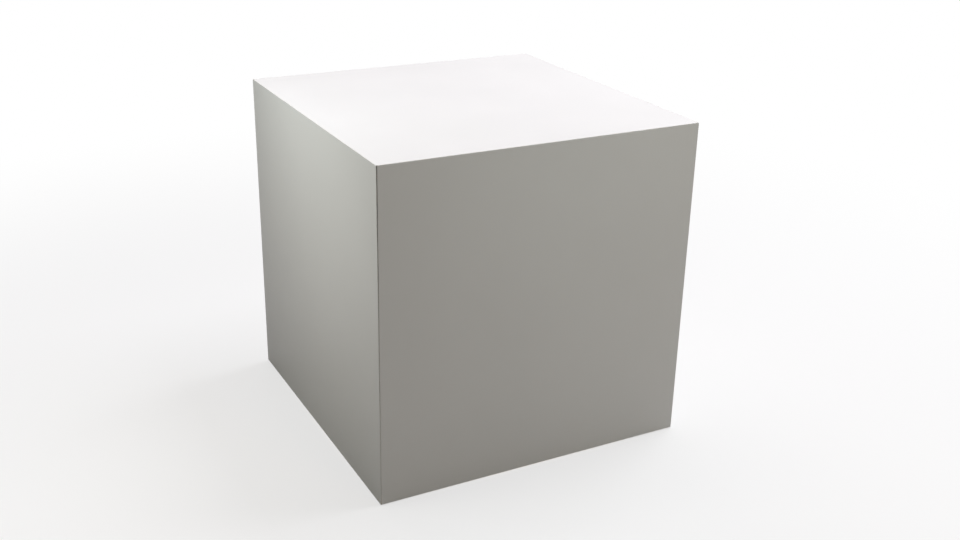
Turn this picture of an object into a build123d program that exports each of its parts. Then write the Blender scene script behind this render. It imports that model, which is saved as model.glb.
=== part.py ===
from build123d import *
import os

# Display cube: a box of board panels on corner posts, clad on five sides in
# thin laminate that is white right through, open underneath, standing on
# four levelling feet.
# Millimetres. Z up, origin on the floor under the cube's centre,
# front = -Y, left = -X.

# ---- driving dimensions -------------------------------------------------
size = 500.0            # overall width, depth and height
laminate_t = 0.8        # laminate sheet thickness
board_t = 18.0          # board panel thickness
floor_gap = 1.5         # underside of the panels above the floor
arris = 0.25            # file-eased upright edges of the laminate
top_arris = 0.45        # the same round the top
seam_low = 0.12         # gap between front and left sheets at the bottom
seam_high = 0.80        # and at the top: the joint has opened there
back_seam = 0.12        # the same joint at the back, tight

post_w = 38.0           # square corner post
post_round = 1.5        # rounded long edges of the planed timber
cleat_w = 25.0          # square cleat under the top
cleat_end_gap = 0.8     # between a cleat's end and the post
cleat_round = 1.2

pad_r = 15.0            # levelling foot pad
pad_h = 7.0
ball_r = 3.6            # ball end of the stem, held in the pad
ball_z = 4.9
ball_play = 0.15
neck_r = 2.6
collar_z0 = 8.0         # hex collar, turned with a 13 mm spanner
collar_h = 4.5
collar_af = 13.0
thread_r = 3.95         # M8 stem over its crests
thread_root_r = 3.25
thread_pitch = 1.25
stem_top = 50.0
nut_gap = 0.3           # collar to tee nut, foot screwed right in
nut_flange_r = 11.0
nut_flange_t = 1.5
nut_bore_r = 4.0
nut_barrel_r = 4.75
nut_barrel_h = 9.0
prong_ring_r = 9.2
prong_w, prong_t, prong_h = 3.0, 1.2, 7.0
post_bore_r = 4.8
post_bore_top = 66.0    # room for the stem above its top

screw_r = 2.0           # 4 mm wood screws, over the thread crests
screw_root_r = 1.3
screw_head_r = 3.9
screw_pitch = 2.6
post_screw_len = 50.0
cleat_screw_len = 35.0
clearance_r = 2.1       # hole through post or cleat
pilot_r = 2.05          # hole in the panel behind
sink_r = 4.1            # countersink at the surface
recess_w, recess_l, recess_d = 0.9, 4.4, 1.7

# ---- derived places -----------------------------------------------------
half = size / 2
core = half - laminate_t                    # outer faces of the board box
inner = core - board_t                      # inner faces of the side panels
top_under = size - laminate_t - board_t     # underside of the top panel
panel_h = top_under - floor_gap
sheet_h = size - floor_gap
nut_z0 = collar_z0 + collar_h + nut_gap
post_z0 = nut_z0 + nut_flange_t
post_h = top_under - post_z0
post_c = inner - post_w / 2                 # centre lines of the posts
post_in = inner - post_w                    # faces of the posts towards the hollow
cleat_c = inner - cleat_w / 2
cleat_in = inner - cleat_w
cleat_zc = top_under - cleat_w / 2
cleat_len = 2 * (post_in - cleat_end_gap)

corners = {
    "front_left": (-1, -1),
    "front_right": (1, -1),
    "back_left": (-1, 1),
    "back_right": (1, 1),
}
side_screw_z = (90.0, 250.0, 410.0)         # post screws into the left and right panels
front_screw_z = (125.0, 285.0, 438.0)       # post screws into the front and back panels
cleat_side_at = 135.0                       # cleat screws into the side panels
cleat_top_at = 62.0                         # cleat screws up into the top

# Where each screw enters: origin on the wood's face, z axis out of the face.
side_screws = {
    (sx, sy): [
        Plane(origin=(sx * post_in, sy * post_c, z), z_dir=(-sx, 0, 0))
        for z in side_screw_z
    ]
    for sx, sy in corners.values()
}
front_screws = {
    (sx, sy): [
        Plane(origin=(sx * post_c, sy * post_in, z), z_dir=(0, -sy, 0))
        for z in front_screw_z
    ]
    for sx, sy in corners.values()
}

# name: direction from the middle of the cube to that side
sides = {"left": (-1, 0), "right": (1, 0), "front": (0, -1), "back": (0, 1)}
cleat_wall_screws = {
    side: [
        Plane(
            origin=(dx * cleat_in + dy * s, dy * cleat_in + dx * s, cleat_zc),
            z_dir=(-dx, -dy, 0),
        )
        for s in (-cleat_side_at, cleat_side_at)
    ]
    for side, (dx, dy) in sides.items()
}
cleat_top_screws = {
    side: [
        Plane(
            origin=(dx * cleat_c + dy * s, dy * cleat_c + dx * s, top_under - cleat_w),
            z_dir=(0, 0, -1),
        )
        for s in (-cleat_top_at, cleat_top_at)
    ]
    for side, (dx, dy) in sides.items()
}


def pilots(planes, through):
    """Each screw's pilot hole in the board behind a piece `through` thick."""
    return [
        Plane(origin=p.origin - p.z_dir * through, z_dir=p.z_dir) for p in planes
    ]


post_pilot = post_screw_len - post_w + 0.6
cleat_pilot = cleat_screw_len - cleat_w + 0.6

# ---- laminate sheets ----------------------------------------------------
# The top sheet goes on first and the side sheets lap over its edges. Round
# the cube the left sheet laps over the front and back sheets, and those lap
# over the right sheet.
with BuildPart() as top_laminate:
    with BuildSketch(Plane.XY.offset(size - laminate_t)):
        Rectangle(2 * core, 2 * core)
    extrude(amount=laminate_t)
top_laminate.part.label = "top_laminate"
export_step(top_laminate.part, "parts/top_laminate.step")

with BuildPart() as left_laminate:
    with BuildSketch(Plane.XY.offset(floor_gap)):
        with Locations((-half + laminate_t / 2, 0)):
            Rectangle(laminate_t, size)
    extrude(amount=sheet_h)
    outer_uprights = left_laminate.edges().filter_by(Axis.Z).group_by(Axis.X)[0]
    chamfer(outer_uprights, length=arris)
    outer_top = (
        left_laminate.edges().filter_by(Axis.Y).group_by(Axis.Z)[-1].sort_by(Axis.X)[0]
    )
    chamfer(outer_top, length=top_arris)
left_laminate.part.label = "left_laminate"
export_step(left_laminate.part, "parts/left_laminate.step")

with BuildPart() as right_laminate:
    with BuildSketch(Plane.XY.offset(floor_gap)):
        with Locations((half - laminate_t / 2, 0)):
            Rectangle(laminate_t, 2 * core)
    extrude(amount=sheet_h)
    outer_top = (
        right_laminate.edges()
        .filter_by(Axis.Y)
        .group_by(Axis.Z)[-1]
        .sort_by(Axis.X)[-1]
    )
    chamfer(outer_top, length=top_arris)
right_laminate.part.label = "right_laminate"
export_step(right_laminate.part, "parts/right_laminate.step")

# The front sheet's left edge leaves a hairline gap that opens towards the top.
with BuildPart() as front_laminate:
    with BuildSketch(Plane.XZ.offset(core)):
        with BuildLine():
            Polyline(
                (-core + seam_low, floor_gap),
                (half, floor_gap),
                (half, size),
                (-core + seam_high, size),
                close=True,
            )
        make_face()
    extrude(amount=laminate_t)
    outer_uprights = (
        front_laminate.edges().group_by(Axis.Y)[0].filter_by(lambda e: e.length > sheet_h - 1)
    )
    chamfer(outer_uprights.sort_by(Axis.X)[0], length=arris)
    chamfer(
        front_laminate.edges().filter_by(Axis.Z).group_by(Axis.X)[-1].sort_by(Axis.Y)[0],
        length=arris,
    )
    chamfer(
        front_laminate.edges().filter_by(Axis.X).group_by(Axis.Z)[-1].sort_by(Axis.Y)[0],
        length=top_arris,
    )
front_laminate.part.label = "front_laminate"
export_step(front_laminate.part, "parts/front_laminate.step")

with BuildPart() as back_laminate:
    with BuildSketch(Plane.XZ.offset(-half)):
        with BuildLine():
            Polyline(
                (-core + back_seam, floor_gap),
                (half, floor_gap),
                (half, size),
                (-core + back_seam, size),
                close=True,
            )
        make_face()
    extrude(amount=laminate_t)
    chamfer(
        back_laminate.edges().filter_by(Axis.Z).group_by(Axis.X)[-1].sort_by(Axis.Y)[-1],
        length=arris,
    )
    chamfer(
        back_laminate.edges().filter_by(Axis.X).group_by(Axis.Z)[-1].sort_by(Axis.Y)[-1],
        length=top_arris,
    )
back_laminate.part.label = "back_laminate"
export_step(back_laminate.part, "parts/back_laminate.step")

# ---- board panels -------------------------------------------------------
with BuildPart() as top_panel:
    with BuildSketch(Plane.XY.offset(top_under)):
        Rectangle(2 * core, 2 * core)
    extrude(amount=board_t)
    with Locations(*pilots([p for ps in cleat_top_screws.values() for p in ps], cleat_w)):
        Hole(radius=pilot_r, depth=cleat_pilot)
top_panel.part.label = "top_panel"
export_step(top_panel.part, "parts/top_panel.step")

# The left and right panels run the full depth, the front and back ones fit
# between them.
with BuildPart() as left_panel:
    with BuildSketch(Plane.XY.offset(floor_gap)):
        with Locations((-core + board_t / 2, 0)):
            Rectangle(board_t, 2 * core)
    extrude(amount=panel_h)
    with Locations(*pilots(side_screws[-1, -1] + side_screws[-1, 1], post_w)):
        Hole(radius=pilot_r, depth=post_pilot)
    with Locations(*pilots(cleat_wall_screws["left"], cleat_w)):
        Hole(radius=pilot_r, depth=cleat_pilot)
left_panel.part.label = "left_panel"
export_step(left_panel.part, "parts/left_panel.step")

with BuildPart() as right_panel:
    with BuildSketch(Plane.XY.offset(floor_gap)):
        with Locations((core - board_t / 2, 0)):
            Rectangle(board_t, 2 * core)
    extrude(amount=panel_h)
    with Locations(*pilots(side_screws[1, -1] + side_screws[1, 1], post_w)):
        Hole(radius=pilot_r, depth=post_pilot)
    with Locations(*pilots(cleat_wall_screws["right"], cleat_w)):
        Hole(radius=pilot_r, depth=cleat_pilot)
right_panel.part.label = "right_panel"
export_step(right_panel.part, "parts/right_panel.step")

with BuildPart() as front_panel:
    with BuildSketch(Plane.XY.offset(floor_gap)):
        with Locations((0, -core + board_t / 2)):
            Rectangle(2 * inner, board_t)
    extrude(amount=panel_h)
    with Locations(*pilots(front_screws[-1, -1] + front_screws[1, -1], post_w)):
        Hole(radius=pilot_r, depth=post_pilot)
    with Locations(*pilots(cleat_wall_screws["front"], cleat_w)):
        Hole(radius=pilot_r, depth=cleat_pilot)
front_panel.part.label = "front_panel"
export_step(front_panel.part, "parts/front_panel.step")

with BuildPart() as back_panel:
    with BuildSketch(Plane.XY.offset(floor_gap)):
        with Locations((0, core - board_t / 2)):
            Rectangle(2 * inner, board_t)
    extrude(amount=panel_h)
    with Locations(*pilots(front_screws[-1, 1] + front_screws[1, 1], post_w)):
        Hole(radius=pilot_r, depth=post_pilot)
    with Locations(*pilots(cleat_wall_screws["back"], cleat_w)):
        Hole(radius=pilot_r, depth=cleat_pilot)
back_panel.part.label = "back_panel"
export_step(back_panel.part, "parts/back_panel.step")

# ---- corner posts -------------------------------------------------------
for corner, (sx, sy) in corners.items():
    foot_end = Plane(origin=(sx * post_c, sy * post_c, post_z0), z_dir=(0, 0, -1))
    with BuildPart() as corner_post:
        with BuildSketch(Plane.XY.offset(post_z0)):
            with Locations((sx * post_c, sy * post_c)):
                Rectangle(post_w, post_w)
        extrude(amount=post_h)
        fillet(corner_post.edges().filter_by(Axis.Z), radius=post_round)
        # bore for the tee nut's barrel and the stem
        with Locations(foot_end):
            Hole(radius=post_bore_r, depth=post_bore_top - post_z0)
        # slots that the tee nut's prongs have cut
        with BuildSketch(Plane.XY.offset(post_z0)):
            with Locations((sx * post_c, sy * post_c)):
                with PolarLocations(prong_ring_r, 4, start_angle=45):
                    Rectangle(prong_t + 0.1, prong_w + 0.1)
        extrude(amount=prong_h + 0.3, mode=Mode.SUBTRACT)
        with Locations(*side_screws[sx, sy], *front_screws[sx, sy]):
            CounterSinkHole(
                radius=clearance_r,
                counter_sink_radius=sink_r,
                depth=2 * post_w,
                counter_sink_angle=90,
            )
    corner_post.part.label = f"post_{corner}"
    export_step(corner_post.part, f"parts/post_{corner}.step")

# ---- cleats under the top -----------------------------------------------
for side, (dx, dy) in sides.items():
    with BuildPart() as cleat:
        with BuildSketch(Plane.XY.offset(top_under - cleat_w)):
            with Locations((dx * cleat_c, dy * cleat_c)):
                if dx:
                    Rectangle(cleat_w, cleat_len)
                else:
                    Rectangle(cleat_len, cleat_w)
        extrude(amount=cleat_w)
        fillet(cleat.edges().filter_by(Axis.Y if dx else Axis.X), radius=cleat_round)
        with Locations(*cleat_wall_screws[side], *cleat_top_screws[side]):
            CounterSinkHole(
                radius=clearance_r,
                counter_sink_radius=sink_r,
                depth=2 * cleat_w,
                counter_sink_angle=90,
            )
    cleat.part.label = f"cleat_{side}"
    export_step(cleat.part, f"parts/cleat_{side}.step")


# ---- wood screws --------------------------------------------------------
def screw_outline(length, plain):
    """Half outline of a countersunk screw, head at z = 0, point at -length."""
    tip = 4.0
    points = [
        (0, -0.05),
        (screw_head_r, -0.05),
        (screw_head_r, -0.15),
        (screw_root_r + 0.25, -0.15 - (screw_head_r - screw_root_r - 0.25)),
        (screw_root_r + 0.25, -plain),
    ]
    z = plain + 0.3
    points += [(screw_root_r, -z)]
    while z + screw_pitch < length - tip:
        points += [
            (screw_r, -z - screw_pitch * 0.62),
            (screw_root_r, -z - screw_pitch),
        ]
        z += screw_pitch
    points += [(0, -length)]
    return points


with BuildPart() as long_screw:
    with BuildSketch(Plane.XZ):
        with BuildLine():
            Polyline(*screw_outline(post_screw_len, 16.0), close=True)
        make_face()
    revolve(axis=Axis.Z)
    with BuildSketch(Plane.XY):
        Rectangle(recess_l, recess_w)
        Rectangle(recess_w, recess_l)
    extrude(amount=-recess_d, mode=Mode.SUBTRACT)

with BuildPart() as short_screw:
    with BuildSketch(Plane.XZ):
        with BuildLine():
            Polyline(*screw_outline(cleat_screw_len, 11.0), close=True)
        make_face()
    revolve(axis=Axis.Z)
    with BuildSketch(Plane.XY):
        Rectangle(recess_l, recess_w)
        Rectangle(recess_w, recess_l)
    extrude(amount=-recess_d, mode=Mode.SUBTRACT)

with BuildPart() as post_screws:
    with Locations(
        *[p for ps in side_screws.values() for p in ps],
        *[p for ps in front_screws.values() for p in ps],
    ):
        add(long_screw.part)
post_screws.part.label = "post_screws"
export_step(post_screws.part, "parts/post_screws.step")

with BuildPart() as cleat_screws:
    with Locations(
        *[p for ps in cleat_wall_screws.values() for p in ps],
        *[p for ps in cleat_top_screws.values() for p in ps],
    ):
        add(short_screw.part)
cleat_screws.part.label = "cleat_screws"
export_step(cleat_screws.part, "parts/cleat_screws.step")

# ---- tee nuts in the posts' ends ----------------------------------------
with BuildPart() as tee_nuts:
    foot_places = [(sx * post_c, sy * post_c) for sx, sy in corners.values()]
    with BuildSketch(Plane.XY.offset(nut_z0)):
        with Locations(*foot_places):
            Circle(nut_flange_r)
    extrude(amount=nut_flange_t)
    with BuildSketch(Plane.XY.offset(nut_z0 + nut_flange_t)):
        with Locations(*foot_places):
            Circle(nut_barrel_r)
    extrude(amount=nut_barrel_h)
    # prongs, thinning towards their points
    with BuildSketch(Plane.XY.offset(nut_z0 + nut_flange_t)):
        with Locations(*foot_places):
            with PolarLocations(prong_ring_r, 4, start_angle=45):
                Rectangle(prong_t, prong_w)
    extrude(amount=prong_h, taper=3)
    with BuildSketch(Plane.XY.offset(nut_z0)):
        with Locations(*foot_places):
            Circle(nut_bore_r)
    extrude(amount=nut_flange_t + nut_barrel_h, mode=Mode.SUBTRACT)
tee_nuts.part.label = "tee_nuts"
export_step(tee_nuts.part, "parts/tee_nuts.step")

# ---- levelling feet -----------------------------------------------------
thread_points = [
    (0, collar_z0 + collar_h - 1.0),
    (thread_root_r, collar_z0 + collar_h - 1.0),
    (thread_root_r, collar_z0 + collar_h + 0.4),
]
z = collar_z0 + collar_h + 0.4
while z + thread_pitch < stem_top - 1.2:
    thread_points += [
        (thread_r, z + thread_pitch * 0.5),
        (thread_root_r, z + thread_pitch),
    ]
    z += thread_pitch
thread_points += [(2.6, stem_top), (0, stem_top)]

mouth_r = ((ball_r + ball_play) ** 2 - (pad_h - ball_z) ** 2) ** 0.5
for corner, (sx, sy) in corners.items():
    x, y = sx * post_c, sy * post_c
    up = Plane(origin=(x, y, 0), x_dir=(1, 0, 0), z_dir=(0, -1, 0))
    foot_axis = Axis((x, y, 0), (0, 0, 1))

    with BuildPart() as foot_stem:
        with BuildSketch(up):
            with BuildLine():
                Polyline(*thread_points, close=True)
            make_face()
        revolve(axis=foot_axis)
        with BuildSketch(Plane.XY.offset(collar_z0)):
            with Locations((x, y)):
                RegularPolygon(collar_af / 2, side_count=6, major_radius=False)
        extrude(amount=collar_h)
        chamfer(
            foot_stem.faces().filter_by(Axis.Z).sort_by(Axis.Z)[0].edges(), length=0.5
        )
        with BuildSketch(Plane.XY.offset(ball_z)):
            with Locations((x, y)):
                Circle(neck_r)
        extrude(amount=collar_z0 - ball_z)
        with Locations((x, y, ball_z)):
            Sphere(ball_r)
    foot_stem.part.label = f"foot_stem_{corner}"
    export_step(foot_stem.part, f"parts/foot_stem_{corner}.step")

    with BuildPart() as foot_pad:
        with BuildSketch(up):
            with BuildLine():
                Polyline(
                    (0, ball_z - ball_r - ball_play),
                    (0, 0),
                    (pad_r - 0.8, 0),
                    (pad_r, 0.8),
                    (pad_r, 3.2),
                    (pad_r - 0.7, 3.9),
                    (9.0, pad_h - 0.6),
                    (8.0, pad_h),
                    (mouth_r, pad_h),
                )
                ThreePointArc(
                    (mouth_r, pad_h),
                    (ball_r + ball_play, ball_z),
                    (0, ball_z - ball_r - ball_play),
                )
            make_face()
        revolve(axis=foot_axis)
    foot_pad.part.label = f"foot_pad_{corner}"
    export_step(foot_pad.part, f"parts/foot_pad_{corner}.step")
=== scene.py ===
import math

import bmesh
import bpy
from mathutils import Matrix, Vector


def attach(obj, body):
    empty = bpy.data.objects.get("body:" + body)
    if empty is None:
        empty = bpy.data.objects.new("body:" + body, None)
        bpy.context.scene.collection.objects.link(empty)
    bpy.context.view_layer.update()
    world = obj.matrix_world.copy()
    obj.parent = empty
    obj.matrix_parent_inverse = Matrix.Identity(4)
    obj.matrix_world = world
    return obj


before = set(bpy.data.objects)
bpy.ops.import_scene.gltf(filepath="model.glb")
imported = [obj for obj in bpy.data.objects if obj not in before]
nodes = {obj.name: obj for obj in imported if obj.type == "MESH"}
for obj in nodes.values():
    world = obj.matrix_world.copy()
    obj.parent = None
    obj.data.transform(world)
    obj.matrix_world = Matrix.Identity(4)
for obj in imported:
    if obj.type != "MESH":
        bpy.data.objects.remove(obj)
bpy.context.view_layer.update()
scene = bpy.context.scene

# ---------------------------------------------------------------- camera
cam_data = bpy.data.cameras.new("camera")
cam = bpy.data.objects.new("camera", cam_data)
scene.collection.objects.link(cam)
scene.camera = cam
cam_data.sensor_fit = "HORIZONTAL"
cam_data.sensor_width = 36.0
cam_data.lens = 43.96
cam_data.clip_start = 0.01
cam_data.clip_end = 200.0
right = Vector((0.885569, -0.464098, 0.019528))
up = Vector((0.16206, 0.348085, 0.923349))
back = Vector((-0.435322, -0.814524, 0.383465))
rot = Matrix((right, up, back)).transposed()
cam.matrix_world = Matrix.Translation(Vector((-0.790811, -1.5426105, 0.9416995))) @ rot.to_4x4()

# ---------------------------------------------------------------- helpers


class Tree:
    """Short calls for building a node tree."""

    def __init__(self, name):
        self.mat = bpy.data.materials.new(name)
        self.mat.use_nodes = True
        self.t = self.mat.node_tree
        self.t.nodes.clear()
        self.out = self.t.nodes.new("ShaderNodeOutputMaterial")
        self.bsdf = self.t.nodes.new("ShaderNodeBsdfPrincipled")
        self.link(self.bsdf.outputs[0], self.out.inputs["Surface"])
        self.coord = self.t.nodes.new("ShaderNodeTexCoord")

    def link(self, a, b):
        self.t.links.new(a, b)

    def put(self, value, socket):
        if hasattr(value, "is_output"):
            self.link(value, socket)
        else:
            socket.default_value = value

    @property
    def pos(self):
        return self.coord.outputs["Object"]

    def math(self, op, a, b=0.0, c=None, clamp=False):
        n = self.t.nodes.new("ShaderNodeMath")
        n.operation = op
        n.use_clamp = clamp
        self.put(a, n.inputs[0])
        self.put(b, n.inputs[1])
        if c is not None:
            self.put(c, n.inputs[2])
        return n.outputs[0]

    def xyz(self, vector=None):
        n = self.t.nodes.new("ShaderNodeSeparateXYZ")
        self.link(vector or self.pos, n.inputs[0])
        return n.outputs

    def mapped(self, scale=(1, 1, 1), place=(0, 0, 0), turn=(0, 0, 0), vector=None):
        n = self.t.nodes.new("ShaderNodeMapping")
        self.link(vector or self.pos, n.inputs["Vector"])
        n.inputs["Scale"].default_value = scale
        n.inputs["Location"].default_value = place
        n.inputs["Rotation"].default_value = turn
        return n.outputs[0]

    def noise(self, scale, detail=2.0, rough=0.5, distort=0.0, vector=None):
        n = self.t.nodes.new("ShaderNodeTexNoise")
        self.link(vector or self.pos, n.inputs["Vector"])
        n.inputs["Scale"].default_value = scale
        n.inputs["Detail"].default_value = detail
        n.inputs["Roughness"].default_value = rough
        n.inputs["Distortion"].default_value = distort
        return n.outputs["Fac"]

    def voronoi(self, scale, feature="F1", rand=1.0, vector=None):
        n = self.t.nodes.new("ShaderNodeTexVoronoi")
        n.feature = feature
        self.link(vector or self.pos, n.inputs["Vector"])
        n.inputs["Scale"].default_value = scale
        n.inputs["Randomness"].default_value = rand
        return n.outputs["Distance"]

    def band(self, value, low, high, to_low=0.0, to_high=1.0, smooth=True):
        n = self.t.nodes.new("ShaderNodeMapRange")
        n.interpolation_type = "SMOOTHSTEP" if smooth else "LINEAR"
        n.clamp = True
        self.put(value, n.inputs["Value"])
        n.inputs["From Min"].default_value = low
        n.inputs["From Max"].default_value = high
        n.inputs["To Min"].default_value = to_low
        n.inputs["To Max"].default_value = to_high
        return n.outputs["Result"]

    def mix(self, fac, a, b, how="MIX"):
        n = self.t.nodes.new("ShaderNodeMix")
        n.data_type = "RGBA"
        n.blend_type = how
        self.put(fac, n.inputs["Factor"])
        self.put(a, n.inputs["A"])
        self.put(b, n.inputs["B"])
        return n.outputs["Result"]

    def ramp(self, value, stops):
        n = self.t.nodes.new("ShaderNodeValToRGB")
        self.put(value, n.inputs["Fac"])
        e = n.color_ramp.elements
        while len(e) > 1:
            e.remove(e[-1])
        e[0].position, e[0].color = stops[0]
        for at, colour in stops[1:]:
            e.new(at).color = colour
        return n.outputs["Color"]

    def bump(self, height, strength=0.3, distance=0.001, normal=None):
        n = self.t.nodes.new("ShaderNodeBump")
        n.inputs["Strength"].default_value = strength
        n.inputs["Distance"].default_value = distance
        self.link(height, n.inputs["Height"])
        if normal is not None:
            self.link(normal, n.inputs["Normal"])
        return n.outputs["Normal"]

    def set(self, **inputs):
        names = {
            "colour": "Base Color", "rough": "Roughness", "metal": "Metallic",
            "normal": "Normal", "spec": "Specular IOR Level", "ior": "IOR",
            "coat": "Coat Weight", "coat_rough": "Coat Roughness",
            "sheen": "Sheen Weight", "sheen_rough": "Sheen Roughness",
            "aniso": "Anisotropic",
        }
        for key, value in inputs.items():
            self.put(value, self.bsdf.inputs[names[key]])
        return self.mat


# ---------------------------------------------------------------- materials
def laminate(side, white_a=(0.800, 0.800, 0.792, 1), white_b=(0.812, 0.812, 0.804, 1)):
    """Laminate that is white right through, with a satin, finely stippled face.
    The sawn and filed edges are rougher and a little greyer."""
    m = Tree(f"laminate_{side}")
    x, y, z = m.xyz()
    depth = {
        "left": lambda: m.math("ADD", x, 0.25),
        "right": lambda: m.math("SUBTRACT", 0.25, x),
        "front": lambda: m.math("ADD", y, 0.25),
        "back": lambda: m.math("SUBTRACT", 0.25, y),
        "top": lambda: m.math("SUBTRACT", 0.5, z),
    }[side]()
    cut = m.band(depth, 0.00002, 0.00006)
    cloud = m.noise(5.0, 3.0, 0.55)
    white = m.mix(m.band(cloud, 0.35, 0.65), white_a, white_b)
    saw = m.noise(900.0, 3.0, 0.6)
    edge = m.mix(saw, (0.66, 0.65, 0.63, 1), (0.76, 0.755, 0.735, 1))
    colour = m.mix(cut, white, edge)
    stipple = m.noise(1400.0, 2.0, 0.6)
    broad = m.noise(260.0, 2.0, 0.5)
    height = m.math("ADD", m.math("MULTIPLY", stipple, 0.6), m.math("MULTIPLY", broad, 0.4))
    smear = m.noise(9.0, 4.0, 0.6, 0.4)
    rough = m.math("ADD", m.band(smear, 0.3, 0.7, 0.405, 0.435), m.math("MULTIPLY", cut, 0.25))
    return m.set(
        colour=colour, rough=rough, spec=0.5, ior=1.5,
        normal=m.bump(height, 0.12, 0.0002),
    )


def fibreboard(side):
    """Medium density fibreboard: hard, darker faces over a paler, woollier
    core. Its outside, under the contact cement, is painted near-black as
    painted shade for the gap, and shows only in the joints of the laminate."""
    m = Tree(f"fibreboard_{side}")
    x, y, z = m.xyz()
    deep = {
        "left": lambda: m.math("ADD", x, 0.2402),
        "right": lambda: m.math("SUBTRACT", x, 0.2402),
        "front": lambda: m.math("ADD", y, 0.2402),
        "back": lambda: m.math("SUBTRACT", y, 0.2402),
        "top": lambda: m.math("SUBTRACT", z, 0.4902),
    }[side]()
    face = m.band(m.math("ABSOLUTE", deep), 0.0048, 0.0086)
    fibre = m.noise(900.0, 4.0, 0.65, 0.6)
    wool = m.noise(420.0, 4.0, 0.7, 1.6)
    fleck = m.noise(520.0, 3.0, 0.6, 0.8)
    cloud = m.noise(14.0, 3.0, 0.5)
    hard = m.mix(m.band(cloud, 0.3, 0.7), (0.405, 0.285, 0.178, 1), (0.475, 0.345, 0.222, 1))
    soft = m.mix(m.band(wool, 0.3, 0.7), (0.50, 0.372, 0.245, 1), (0.62, 0.485, 0.335, 1))
    base = m.mix(face, soft, hard)
    base = m.mix(m.band(fibre, 0.35, 0.75, 0.0, 0.40), base, (0.60, 0.455, 0.30, 1))
    base = m.mix(m.band(fleck, 0.60, 0.74, 0.0, 0.42), base, (0.28, 0.19, 0.115, 1))
    # rubbed, dusty marks from handling the open box
    rub = m.noise(6.0, 4.0, 0.62, 0.8)
    base = m.mix(m.band(rub, 0.50, 0.74, 0.0, 0.16), base, (0.66, 0.57, 0.45, 1))
    # painted shade: the fibreboard's outer faces show only through the laminate joints, and are painted
    # near-black there for the shade in the gap
    outside = m.math("MAXIMUM", m.math("ABSOLUTE", x), m.math("ABSOLUTE", y))
    outside = m.math("MAXIMUM", outside, m.math("SUBTRACT", z, 0.25))
    painted_gap_shade = m.band(outside, 0.24900, 0.24912)
    base = m.mix(painted_gap_shade, base, (0.030, 0.033, 0.030, 1))
    height = m.math("ADD", m.math("MULTIPLY", fibre, m.band(face, 0.0, 1.0, 0.5, 0.25)),
                    m.math("MULTIPLY", wool, m.band(face, 0.0, 1.0, 0.6, 0.1)))
    rough = m.math("SUBTRACT", m.band(fibre, 0.3, 0.7, 0.80, 0.92), m.math("MULTIPLY", face, 0.14))
    return m.set(colour=base, rough=rough, spec=0.3, normal=m.bump(height, 0.45, 0.0006))


def softwood(name, along, seed):
    """Planed pine, its growth rings running round an axis beside the piece."""
    m = Tree(name)
    turn = {"z": (0, 0, 0), "x": (0, math.pi / 2, 0), "y": (math.pi / 2, 0, 0)}[along]
    stretched = m.mapped((1, 1, 0.06), (seed * 0.31, seed * 0.17, seed), turn)
    wobble = m.noise(9.0, 4.0, 0.55, vector=stretched)
    spread = m.noise(22.0, 2.0, 0.5, vector=stretched)
    sx, sy, sz = m.xyz(stretched)
    r = m.math("SQRT", m.math("ADD", m.math("POWER", sx, 2.0), m.math("POWER", sy, 2.0)))
    wander = m.math("ADD", m.math("MULTIPLY", wobble, 0.030), m.math("MULTIPLY", spread, 0.006))
    rings = m.math("FRACT", m.math("MULTIPLY", m.math("ADD", r, wander), 215.0))
    late = m.band(rings, 0.40, 0.96)
    late = m.math("MULTIPLY", late, m.band(rings, 1.0, 0.965))
    late = m.math("MULTIPLY", late, m.band(spread, 0.3, 0.7, 0.45, 1.0))
    fine = m.noise(500.0, 3.0, 0.6, vector=m.mapped((1, 1, 0.03), (0, 0, seed), turn))
    base = m.mix(late, (0.71, 0.53, 0.335, 1), (0.50, 0.31, 0.155, 1))
    base = m.mix(m.band(fine, 0.35, 0.7, 0.0, 0.35), base, (0.60, 0.42, 0.25, 1))
    height = m.math("SUBTRACT", m.math("MULTIPLY", late, 0.5), m.math("MULTIPLY", fine, 0.4))
    return m.set(colour=base, rough=m.band(fine, 0.3, 0.7, 0.55, 0.72), spec=0.35,
                 normal=m.bump(height, 0.12, 0.0005))


def zinc():
    m = Tree("zinc_plate")
    cloud = m.noise(120.0, 3.0, 0.55)
    fine = m.noise(2200.0, 2.0, 0.5)
    colour = m.mix(cloud, (0.60, 0.62, 0.65, 1), (0.72, 0.73, 0.735, 1))
    return m.set(colour=colour, metal=1.0, rough=m.band(cloud, 0.3, 0.7, 0.24, 0.38),
                 normal=m.bump(fine, 0.08, 0.0003))


def nylon():
    m = Tree("black_nylon_moulding")
    grain = m.voronoi(1500.0)
    cloud = m.noise(40.0, 3.0, 0.5)
    colour = m.mix(cloud, (0.012, 0.012, 0.013, 1), (0.024, 0.024, 0.026, 1))
    return m.set(colour=colour, rough=m.band(cloud, 0.3, 0.7, 0.42, 0.55), spec=0.45,
                 normal=m.bump(grain, 0.15, 0.0003))


def dress(name, mat):
    obj = nodes[name]
    if not obj.material_slots:
        obj.data.materials.append(mat)
    for s in obj.material_slots:
        s.material = mat


zinc_mat, nylon_mat = zinc(), nylon()
for side in ("top", "left", "right", "front", "back"):
    dress(f"{side}_laminate", laminate(side))
    dress(f"{side}_panel", fibreboard(side))
for i, corner in enumerate(("front_left", "front_right", "back_left", "back_right")):
    dress(f"post_{corner}", softwood(f"pine_post_{corner}", "z", 1.7 + i))
    dress(f"foot_stem_{corner}", zinc_mat)
    dress(f"foot_pad_{corner}", nylon_mat)
for i, side in enumerate(("left", "right", "front", "back")):
    dress(f"cleat_{side}", softwood(f"pine_cleat_{side}", "y" if side in ("left", "right") else "x", 9.3 + i))
for name in ("post_screws", "cleat_screws", "tee_nuts"):
    dress(name, zinc_mat)

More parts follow.
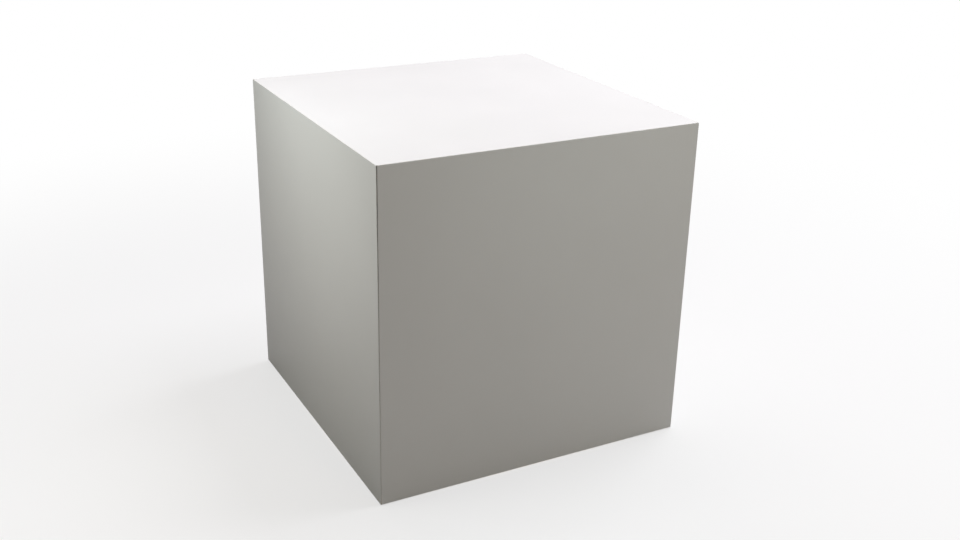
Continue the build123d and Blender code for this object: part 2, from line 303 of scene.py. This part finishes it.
# ---------------------------------------------------------------- glue
# Wood glue squeezed out of the joints of the carcass and dried there, along
# the posts and the cleats. It is seen only from below.
def dried_glue():
    m = Tree("dried_wood_glue")
    cloud = m.noise(60.0, 3.0, 0.55)
    fine = m.noise(700.0, 2.0, 0.5)
    colour = m.mix(m.band(cloud, 0.3, 0.7), (0.66, 0.47, 0.20, 1), (0.80, 0.66, 0.40, 1))
    return m.set(colour=colour, rough=m.band(cloud, 0.3, 0.7, 0.22, 0.40), spec=0.5,
                 normal=m.bump(fine, 0.15, 0.0004))


def wander(t, seed):
    """A smooth number from -1 to 1 that changes along t, in metres."""
    return (math.sin(t * 61.0 + seed * 1.7) * 0.42 + math.sin(t * 143.0 + seed * 4.1) * 0.33
            + math.sin(t * 337.0 + seed * 2.3) * 0.25)


def bead(bm, start, end, out, seed, thick=0.0011):
    """One bead from start to end. It bulges towards `out` and lies in the
    inner angle of the joint, thick in some places and gone in others."""
    start, end, out = Vector(start), Vector(end), Vector(out).normalized()
    along = (end - start).normalized()
    side = along.cross(out).normalized()
    length = (end - start).length
    n = int(length / 0.0022)
    rings = []
    for i in range(n + 1):
        t = length * i / n
        w = wander(t, seed)
        r = thick * (0.75 + 0.55 * w)
        run = wander(t * 0.37 + 5.0, seed + 9.0)
        if run < -0.35:
            r *= max(0.22, 1.0 + (run + 0.35) * 3.0)
        r *= min(1.0, 0.25 + min(i, n - i) * 0.25)
        centre = start + along * t + side * (wander(t, seed + 3.0) * thick * 0.25)
        ring = []
        for k in range(10):
            a = 2 * math.pi * k / 10
            ring.append(bm.verts.new(centre + out * (math.cos(a) * r) + side * (math.sin(a) * r * 1.25)))
        rings.append(ring)
    for a, b in zip(rings, rings[1:]):
        for k in range(10):
            j = (k + 1) % 10
            bm.faces.new((a[k], a[j], b[j], b[k]))
    bm.faces.new(list(reversed(rings[0])))
    bm.faces.new(rings[-1])


def glue_piece(name, beads, mat):
    bm = bmesh.new()
    for i, (start, end, out) in enumerate(beads):
        bead(bm, start, end, out, seed=i * 1.31 + len(name))
    bmesh.ops.recalc_face_normals(bm, faces=bm.faces)
    mesh = bpy.data.meshes.new(name)
    bm.to_mesh(mesh)
    bm.free()
    for f in mesh.polygons:
        f.use_smooth = True
    obj = bpy.data.objects.new(name, mesh)
    scene.collection.objects.link(obj)
    mesh.materials.append(mat)
    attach(obj, "carcass")
    return obj


WALL, POST_IN, CLEAT_IN = 0.2312, 0.1932, 0.2062      # inner faces, from the middle
TOP_UNDER, CLEAT_UNDER = 0.4812, 0.4562
post_beads, cleat_beads = [], []
for sx in (-1, 1):
    for sy in (-1, 1):
        low, high = 0.030, CLEAT_UNDER - 0.002
        post_beads.append(((sx * POST_IN, sy * WALL, low), (sx * POST_IN, sy * WALL, high), (-sx, -sy, 0)))
        post_beads.append(((sx * WALL, sy * POST_IN, low), (sx * WALL, sy * POST_IN, high), (-sx, -sy, 0)))
for s in (-1, 1):
    e = 0.190
    cleat_beads.append(((s * WALL, -e, CLEAT_UNDER), (s * WALL, e, CLEAT_UNDER), (-s, 0, -1)))
    cleat_beads.append(((-e, s * WALL, CLEAT_UNDER), (e, s * WALL, CLEAT_UNDER), (0, -s, -1)))
    cleat_beads.append(((s * CLEAT_IN, -e, TOP_UNDER), (s * CLEAT_IN, e, TOP_UNDER), (-s, 0, -1)))
    cleat_beads.append(((-e, s * CLEAT_IN, TOP_UNDER), (e, s * CLEAT_IN, TOP_UNDER), (0, -s, -1)))
glue_mat = dried_glue()
glue_piece("glue_line_posts", post_beads, glue_mat)
glue_piece("glue_line_cleats", cleat_beads, glue_mat)

# ---------------------------------------------------------------- stage
# A pale floor with the cube's soft shadow on it, which brightens to white
# further off. What it throws back on the cube is that of a mid-grey floor.
FLOOR_SEEN = 0.27
FLOOR_LIFT = 0.63
FLOOR_BOUNCE = 0.30

mesh = bpy.data.meshes.new("floor")
r = 30.0
mesh.from_pydata([(-r, -r, -0.0002), (r, -r, -0.0002), (r, r, -0.0002), (-r, r, -0.0002)], [], [(0, 1, 2, 3)])
floor = bpy.data.objects.new("floor", mesh)
scene.collection.objects.link(floor)
fm = bpy.data.materials.new("floor")
fm.use_nodes = True
t = fm.node_tree
t.nodes.clear()


def n_new(kind, **values):
    n = t.nodes.new(kind)
    for key, value in values.items():
        n.inputs[key].default_value = value
    return n


out = t.nodes.new("ShaderNodeOutputMaterial")
path = t.nodes.new("ShaderNodeLightPath")
geo = t.nodes.new("ShaderNodeNewGeometry")
seen = n_new("ShaderNodeBsdfDiffuse", Color=(FLOOR_SEEN, FLOOR_SEEN, FLOOR_SEEN, 1))
glow = n_new("ShaderNodeEmission", Color=(1, 1, 1, 1), Strength=1.0)
lift = n_new("ShaderNodeEmission", Color=(1, 1, 1, 1), Strength=FLOOR_LIFT)
burnt = t.nodes.new("ShaderNodeAddShader")
t.links.new(seen.outputs[0], burnt.inputs[0])
t.links.new(lift.outputs[0], burnt.inputs[1])
bounce = n_new("ShaderNodeBsdfDiffuse", Color=(FLOOR_BOUNCE, FLOOR_BOUNCE, FLOOR_BOUNCE, 1))
clear = t.nodes.new("ShaderNodeBsdfTransparent")
coord = t.nodes.new("ShaderNodeTexCoord")
length = t.nodes.new("ShaderNodeVectorMath")
length.operation = "LENGTH"
t.links.new(coord.outputs["Object"], length.inputs[0])
far = n_new("ShaderNodeMapRange", **{"From Min": 0.40, "From Max": 1.8})
far.interpolation_type = "SMOOTHSTEP"
t.links.new(length.outputs["Value"], far.inputs["Value"])
shown = t.nodes.new("ShaderNodeMixShader")
t.links.new(far.outputs["Result"], shown.inputs[0])
t.links.new(burnt.outputs[0], shown.inputs[1])
t.links.new(glow.outputs[0], shown.inputs[2])
by_camera = t.nodes.new("ShaderNodeMixShader")
t.links.new(path.outputs["Is Camera Ray"], by_camera.inputs[0])
t.links.new(bounce.outputs[0], by_camera.inputs[1])
t.links.new(shown.outputs[0], by_camera.inputs[2])
# from below the floor is clear, and light set under it passes, so that the
# underside can be looked at
either = t.nodes.new("ShaderNodeMath")
either.operation = "MAXIMUM"
t.links.new(path.outputs["Is Shadow Ray"], either.inputs[0])
t.links.new(geo.outputs["Backfacing"], either.inputs[1])
see_through = t.nodes.new("ShaderNodeMixShader")
t.links.new(either.outputs[0], see_through.inputs[0])
t.links.new(by_camera.outputs[0], see_through.inputs[1])
t.links.new(clear.outputs[0], see_through.inputs[2])
t.links.new(see_through.outputs[0], out.inputs["Surface"])
mesh.materials.append(fm)

world = bpy.data.worlds.new("world")
scene.world = world
world.use_nodes = True
wt = world.node_tree
wt.nodes.clear()
wout = wt.nodes.new("ShaderNodeOutputWorld")
wseen = wt.nodes.new("ShaderNodeBackground")
wseen.inputs["Color"].default_value = (1.0, 1.0, 1.0, 1)
wlight = wt.nodes.new("ShaderNodeBackground")
wlight.inputs["Color"].default_value = (1.0, 1.0, 1.0, 1)
wlight.inputs["Strength"].default_value = 0.06
wpath = wt.nodes.new("ShaderNodeLightPath")
wmix = wt.nodes.new("ShaderNodeMixShader")
wt.links.new(wpath.outputs["Is Camera Ray"], wmix.inputs[0])
wt.links.new(wlight.outputs[0], wmix.inputs[1])
wt.links.new(wseen.outputs[0], wmix.inputs[2])
wt.links.new(wmix.outputs[0], wout.inputs["Surface"])

# name: (place, aimed at, side, power for red, green, blue, spread)
LIGHTS = {
    "overhead_right": ((1.3, 0.0, 2.6), (0, 0, 0.4), 1.8, (73.3, 74.3, 77.4), 180),
    "overhead_back": ((0.0, 1.3, 2.6), (0, 0, 0.4), 1.8, (19.9, 17.1, 17.1), 180),
    "left_high": ((-0.85, -0.05, 0.9), (-0.25, -0.05, 0.65), 0.25, (0.61, 0.71, 0.68), 180),
    "left_low": ((-0.85, -0.05, 0.55), (-0.25, -0.05, 0.3), 0.25, (1.14, 1.05, 0.90), 180),
    "left_spot": ((-0.60, 0.05, 0.72), (-0.25, 0.05, 0.48), 0.12, (0.62, 0.67, 0.66), 180),
    "front_high": ((0.3, -1.9, 1.6), (0.1, -0.25, 0.3), 0.6, (3.66, 2.37, 1.25), 180),
    "front_right_low": ((1.1, -1.9, 0.35), (0.33, -0.25, 0.3), 0.6, (4.68, 4.77, 4.38), 180),
    "front_top": ((0.05, -0.75, 0.62), (0.05, -0.25, 0.5), (0.5, 0.08), (0.14, 0.19, 0.19), 180),
    "fill_back": ((0.55, 2.4, 0.28), (0, 0.25, 0.28), (1.6, 0.4), (9, 9, 9), 180),
    "fill_right": ((2.4, 0.55, 0.28), (0.25, 0, 0.28), (1.6, 0.4), (8, 8, 8), 180),
    "under": ((0.0, 0.0, -0.8), (0, 0, 0.3), 0.30, (1.6, 1.6, 1.6), 34),
}


def area(name, at, to, size, watts, spread=180.0):
    power = max(watts)
    data = bpy.data.lights.new(name, "AREA")
    data.energy = power
    data.color = tuple(w / power for w in watts)
    data.spread = math.radians(spread)
    if isinstance(size, tuple):
        data.shape = "RECTANGLE"
        data.size, data.size_y = size
    else:
        data.size = size
    obj = bpy.data.objects.new(name, data)
    obj.location = at
    obj.rotation_euler = (Vector(to) - Vector(at)).to_track_quat("-Z", "Y").to_euler()
    obj.visible_camera = False
    scene.collection.objects.link(obj)
    return obj


for name, (at, to, side, watts, spread) in LIGHTS.items():
    area(name, at, to, side, watts, spread)

scene.view_settings.view_transform = "Standard"
scene.view_settings.look = "None"
scene.view_settings.exposure = 0.0
scene.view_settings.gamma = 1.0
